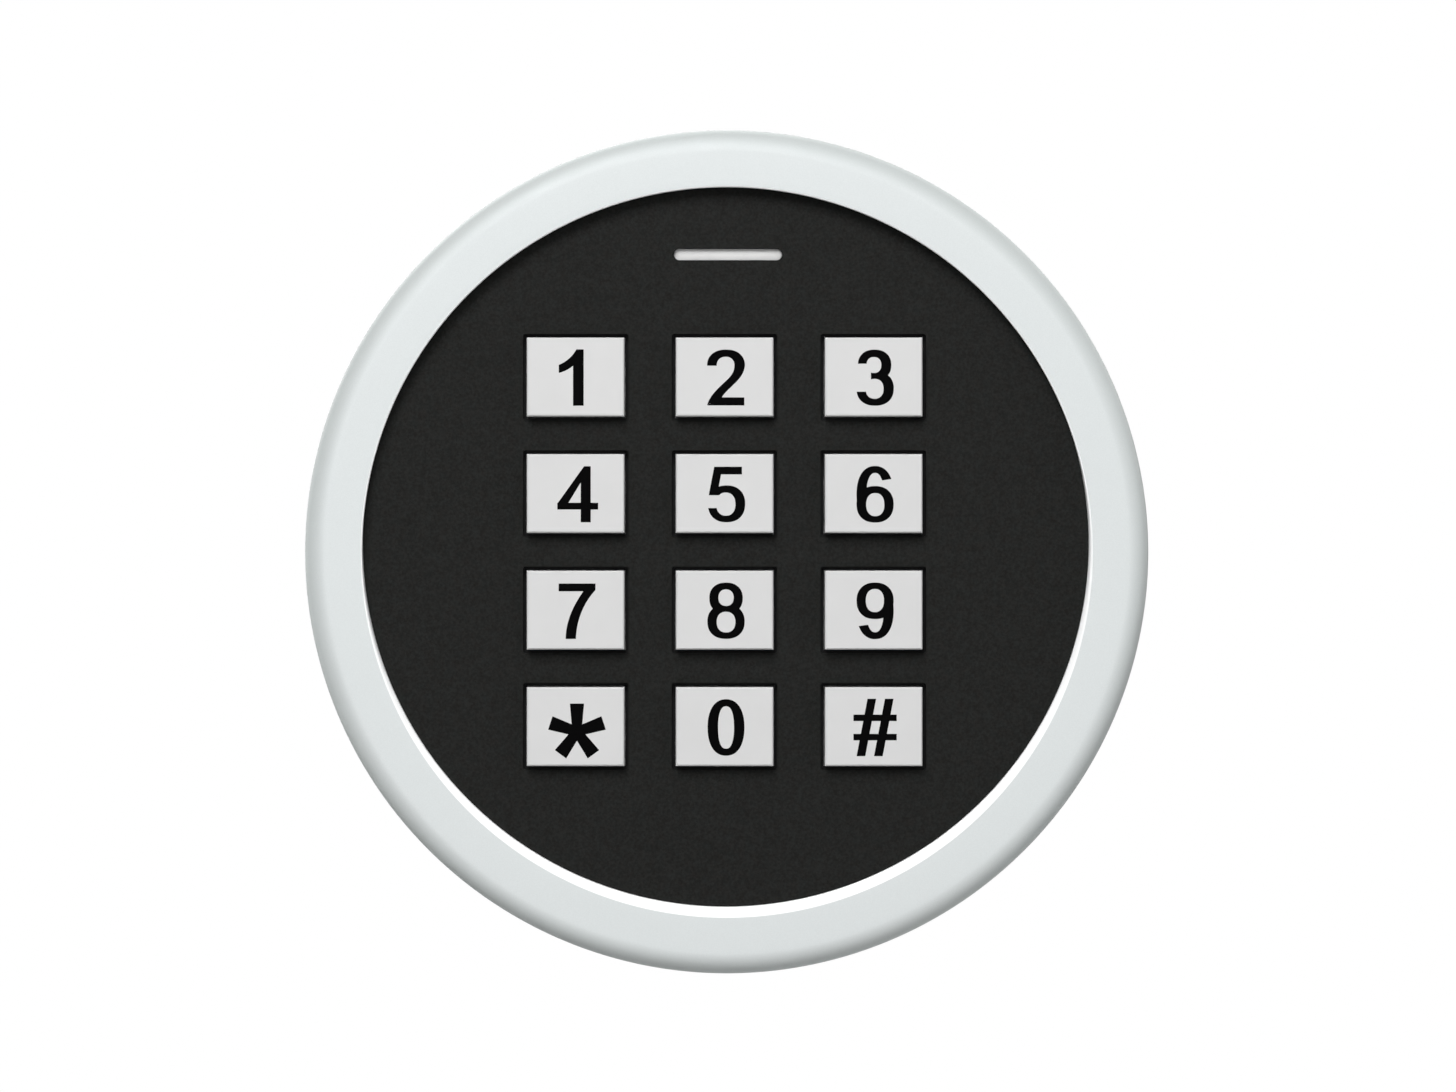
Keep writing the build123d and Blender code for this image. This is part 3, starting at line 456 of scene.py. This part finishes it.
def ring_profile(angle):
    """Ring section. Its inner bevel is widest at the bottom and runs out above the middle."""
    along = FOOT_X * cos(angle) + FOOT_Z * sin(angle)
    across = FOOT_Z * cos(angle) - FOOT_X * sin(angle)
    foot = along + sqrt(FOOT_R**2 - across**2)
    top = Vector((LIP_R, FRONT_H))
    knee = Vector((min(foot, LIP_R), FRONT_H - BEVEL_DEPTH))
    down = (knee - top).normalized()
    ease = []
    for i in range(LIP_STEPS + 1):
        t = i / LIP_STEPS
        a = top + Vector((LIP_EDGE, 0)) * (1 - t)
        b = top + down * LIP_EDGE * t
        ease.append(tuple(a.lerp(b, t)))
    back_centre = (OUTER_R - BACK_ROUND, RING_BACK_H + BACK_ROUND)
    front_centre = (OUTER_R - OUTER_ROUND, FRONT_H - OUTER_ROUND)
    points = arc(back_centre, BACK_ROUND, -90, 0, BACK_STEPS)
    points += arc(front_centre, OUTER_ROUND, 0, 90, OUTER_STEPS)
    points += [(FACE_START_R, FRONT_H)] + ease
    points += [tuple(knee), (foot, PLATE_H + LAND)]
    points += [(foot, PLATE_H + LAND / 6), (foot + LAND / 3, PLATE_H)]
    points += [(SKIRT_R - SKIRT_EASE, PLATE_H), (SKIRT_R, PLATE_H - SKIRT_EASE)]
    points += [(SKIRT_R, RING_BACK_H + BACK_EASE), (SKIRT_R + BACK_EASE, RING_BACK_H)]
    return points


ring = turned("bezel_ring_cast", ring_profile, RING_SEGMENTS)
stand_for(ring, "bezel_ring")
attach(ring, "reader")
# painted highlight: the bevel and lip faces take the paler paint
ring.data.materials.append(materials["ring_bevel_highlight"])
for face in ring.data.polygons:
    reach = Vector((face.center.x, face.center.z)).length / MM
    if reach < HIGHLIGHT_END_R and -face.center.y / MM > PLATE_H + LAND / 2:
        face.material_index = 1


# ---------------------------------------------------------------- key mat and pills
# The mat's sheet and each dome's skirt lie still on the board. Under each key the dome's
# plunger goes in with the key and presses its carbon pill on the board. Sizes in mm, with
# heights above the wall.
mat_low, mat_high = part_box("key_mat")
pill_low, pill_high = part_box("contact_pills")
BOARD_H = -mat_high.y / MM
PLUNGER_TOP = -mat_low.y / MM
PILL_BACK = -pill_high.y / MM
PILL_FRONT = -pill_low.y / MM
WEB_THICKNESS = 1.0
WEB_TOP = BOARD_H + WEB_THICKNESS
MAT_ROUND = 4.0
MAT_ROUND_STEPS = 8
FOOT_OUT_R = 4.1
FOOT_IN_R = 3.4
FOOT_LAP = 0.1  # how far the sheet reaches into each skirt's foot
HOLE_CORNERS = 48
PLUNGER_R = 2.6
PILL_R = 1.75
PILL_PLAY = 0.02
POCKET_WALL = 0.35
PILL_HOLD = 0.3
SKIRT_RISE = 1.5
SKIRT_WALL = 0.25  # height between the skirt's outer and inner top corners
SKIRT_DIP = 0.05  # the skirt's inner bottom corner lies this far under the sheet's top
SKIRT_STEPS = 5
DOME_SEGMENTS = 48


def line(start, end, steps):
    """Points from start up to, but not including, end."""
    return [tuple(Vector(start).lerp(Vector(end), i / steps)) for i in range(steps)]


outer_joint = (PLUNGER_R, WEB_TOP + SKIRT_RISE)
inner_joint = (PILL_R + POCKET_WALL, WEB_TOP + SKIRT_RISE - SKIRT_WALL)
skirt_section = [(FOOT_IN_R, BOARD_H), (FOOT_OUT_R, BOARD_H)]
skirt_section += line((FOOT_OUT_R, WEB_TOP), outer_joint, SKIRT_STEPS)
inner_corner = (FOOT_IN_R, WEB_TOP - SKIRT_DIP)
skirt_section += [outer_joint] + line(inner_joint, inner_corner, SKIRT_STEPS)
skirt_section += [inner_corner]
plunger_section = [
    (0.0, PILL_FRONT),
    (PILL_R, PILL_FRONT),
    (PILL_R, PILL_FRONT - PILL_HOLD),
    (PILL_R + POCKET_WALL, PILL_FRONT - PILL_HOLD),
    inner_joint,
    outer_joint,
    (PLUNGER_R, PLUNGER_TOP),
    (0.0, PLUNGER_TOP),
]
pill_section = [
    (0.0, PILL_BACK),
    (PILL_R - PILL_PLAY, PILL_BACK),
    (PILL_R - PILL_PLAY, PILL_FRONT),
    (0.0, PILL_FRONT),
]


def in_fixed_order(bm):
    """Points, no edges, and faces of a bmesh, sorted so that every run lists them alike."""
    points = sorted(bm.verts, key=lambda point: tuple(point.co))
    index_of = {point: i for i, point in enumerate(points)}
    faces = []
    for face in bm.faces:
        corners = [index_of[point] for point in face.verts]
        first = corners.index(min(corners))
        faces.append(corners[first:] + corners[:first])
    return [tuple(point.co) for point in points], [], sorted(faces)


def mat_sheet(holes):
    """Sheet of the mat: a rounded rectangle with a round hole under each dome's skirt."""
    half_w, half_h = mat_high.x / MM, mat_high.z / MM
    corners = []
    for i, (x_side, z_side) in enumerate(((1, 1), (-1, 1), (-1, -1), (1, -1))):
        middle = (x_side * (half_w - MAT_ROUND), z_side * (half_h - MAT_ROUND))
        corners += arc(middle, MAT_ROUND, 90 * i, 90 * (i + 1), MAT_ROUND_STEPS)
    last_corner = 360 * (HOLE_CORNERS - 1) / HOLE_CORNERS
    loops = [corners]
    for hole in holes:
        loops.append(arc(hole, FOOT_OUT_R - FOOT_LAP, 0, last_corner, HOLE_CORNERS - 1))
    bm = bmesh.new()
    for loop in loops:
        points = [bm.verts.new((x * MM, -BOARD_H * MM, z * MM)) for x, z in loop]
        for i, point in enumerate(points):
            bm.edges.new((points[i - 1], point))
    filled = bmesh.ops.triangle_fill(bm, edges=bm.edges[:], use_beauty=True)
    faces = [f for f in filled["geom"] if isinstance(f, bmesh.types.BMFace)]
    raised = bmesh.ops.extrude_face_region(bm, geom=faces, use_keep_orig=True)
    lifted = [v for v in raised["geom"] if isinstance(v, bmesh.types.BMVert)]
    bmesh.ops.translate(bm, verts=lifted, vec=(0, (BOARD_H - WEB_TOP) * MM, 0))
    bmesh.ops.recalc_face_normals(bm, faces=bm.faces)
    mesh = bpy.data.meshes.new("key_mat_sheet")
    mesh.from_pydata(*in_fixed_order(bm))
    bm.free()
    sheet = bpy.data.objects.new("key_mat_sheet", mesh)
    bpy.context.scene.collection.objects.link(sheet)
    return sheet


KEY_PREFIX = "key_"
key_names = sorted(
    node_name.removeprefix(KEY_PREFIX)
    for node_name in frame["nodes"]
    if node_name.startswith(KEY_PREFIX) and node_name != "key_mat"
)
domes = {}  # centre of the dome under each key
for key_name in key_names:
    key_low, key_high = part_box(f"key_{key_name}")
    domes[key_name] = ((key_low.x + key_high.x) / 2 / MM, (key_low.z + key_high.z) / 2 / MM)

for key_name, (key_x, key_z) in domes.items():
    button = f"button_{key_name}"
    centre = (key_x, key_z)
    skirt = turned(
        f"key_mat_skirt_{key_name}", lambda angle: skirt_section, DOME_SEGMENTS, centre
    )
    stand_for(skirt, "key_mat")
    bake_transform(skirt)
    plunger = turned(
        f"key_mat_plunger_{key_name}", lambda angle: plunger_section, DOME_SEGMENTS, centre
    )
    stand_for(plunger, "key_mat")
    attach(plunger, button)
    pill = turned(f"contact_pill_{key_name}", lambda angle: pill_section, DOME_SEGMENTS, centre)
    stand_for(pill, "contact_pills")
    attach(pill, button)

sheet = mat_sheet(domes.values())
stand_for(sheet, "key_mat")
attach(sheet, "reader")


# ---------------------------------------------------------------- stage, lights and camera
FLOOR_HALF = 0.42  # half the floor's width
FLOOR_Z = -0.5
ROOM_EDGE = (-0.1, 0.5)  # Y of the view directions between which the room's light changes
ROOM_BEFORE = 0.08  # strength of the room's light on the user's side
ROOM_BEHIND = 0.6  # and behind the reader


def floor():
    """Plain pale floor, under the reader and out of the straight view."""
    mesh = bpy.data.meshes.new("floor")
    sides = ((-1, -1), (1, -1), (1, 1), (-1, 1))
    corners = [(x * FLOOR_HALF, y * FLOOR_HALF, FLOOR_Z) for x, y in sides]
    mesh.from_pydata(corners, [], [(0, 1, 2, 3)])
    piece = bpy.data.objects.new("floor", mesh)
    bpy.context.scene.collection.objects.link(piece)
    s = Shader("floor_pale", (0.82, 0.82, 0.82), 0.7)
    s.mottle(60.0, 0.01)
    s.bump([(s.noise(1.5, 3.0), 0.05)])
    piece.data.materials.append(s.material)


def softbox(name, azimuth, elevation, distance, width, height, power):
    """Rectangular area light aimed at the reader from an angle round it."""
    data = bpy.data.lights.new(name, "AREA")
    data.shape = "RECTANGLE"
    data.size = width
    data.size_y = height
    data.energy = power
    lamp = bpy.data.objects.new(name, data)
    a, e = radians(azimuth), radians(elevation)
    away = Vector((sin(a) * cos(e), -cos(a) * cos(e), sin(e)))
    lamp.location = away * distance
    lamp.rotation_euler = (-away).to_track_quat("-Z", "Y").to_euler()
    bpy.context.scene.collection.objects.link(lamp)


def studio_world():
    """White backdrop to the camera. To all else a pale room, dim in front and lighter behind."""
    world = bpy.data.worlds.new("studio")
    bpy.context.scene.world = world
    world.use_nodes = True
    tree = world.node_tree
    background = tree.nodes["Background"]
    background.inputs["Color"].default_value = (1, 1, 1, 1)
    direction = tree.nodes.new("ShaderNodeTexCoord")
    split = tree.nodes.new("ShaderNodeSeparateXYZ")
    tree.links.new(direction.outputs["Generated"], split.inputs["Vector"])
    room = tree.nodes.new("ShaderNodeMapRange")
    room.inputs["From Min"].default_value = ROOM_EDGE[0]
    room.inputs["From Max"].default_value = ROOM_EDGE[1]
    room.inputs["To Min"].default_value = ROOM_BEFORE
    room.inputs["To Max"].default_value = ROOM_BEHIND
    tree.links.new(split.outputs["Y"], room.inputs["Value"])
    path = tree.nodes.new("ShaderNodeLightPath")
    level = tree.nodes.new("ShaderNodeMapRange")
    level.inputs["To Max"].default_value = 1.0
    tree.links.new(path.outputs["Is Camera Ray"], level.inputs["Value"])
    tree.links.new(room.outputs["Result"], level.inputs["To Min"])
    tree.links.new(level.outputs["Result"], background.inputs["Strength"])


LAMPS = {  # azimuth and elevation in degrees; distance, width and height; power in watts
    "main_light": (-14, 41, 0.72, 0.33, 0.37, 5.25),
    "front_light": (0, 6, 1.3, 0.6, 0.6, 2.3),
    "low_light": (0, -48, 0.8, 0.6, 0.3, 1.1),
    "left_light": (-62, 12, 1.0, 0.5, 0.6, 0.3),
    "right_light": (62, 12, 1.0, 0.5, 0.6, 2.3),
    "back_light": (200, 25, 1.0, 0.7, 0.7, 5.0),
}
floor()
studio_world()
for lamp_name, lamp in LAMPS.items():
    softbox(lamp_name, *lamp)

VIEW_W_MM = 147.9  # width of the view at the ring's front
AIM_X_MM = 0.13  # middle of the view, off the ring's axis
AIM_Z_MM = 0.59
LENS = 135.0
SENSOR = 36.0

camera_data = bpy.data.cameras.new("camera")
camera_data.sensor_width = SENSOR
camera_data.lens = LENS
camera_data.clip_start = 0.01
camera_data.clip_end = 20.0
camera = bpy.data.objects.new("camera", camera_data)
bpy.context.scene.collection.objects.link(camera)
camera_distance = VIEW_W_MM * MM * LENS / SENSOR
camera.location = (AIM_X_MM * MM, -FRONT_H * MM - camera_distance, AIM_Z_MM * MM)
camera.rotation_euler = (radians(90), 0, 0)
bpy.context.scene.camera = camera
bpy.context.scene.view_settings.view_transform = "Standard"
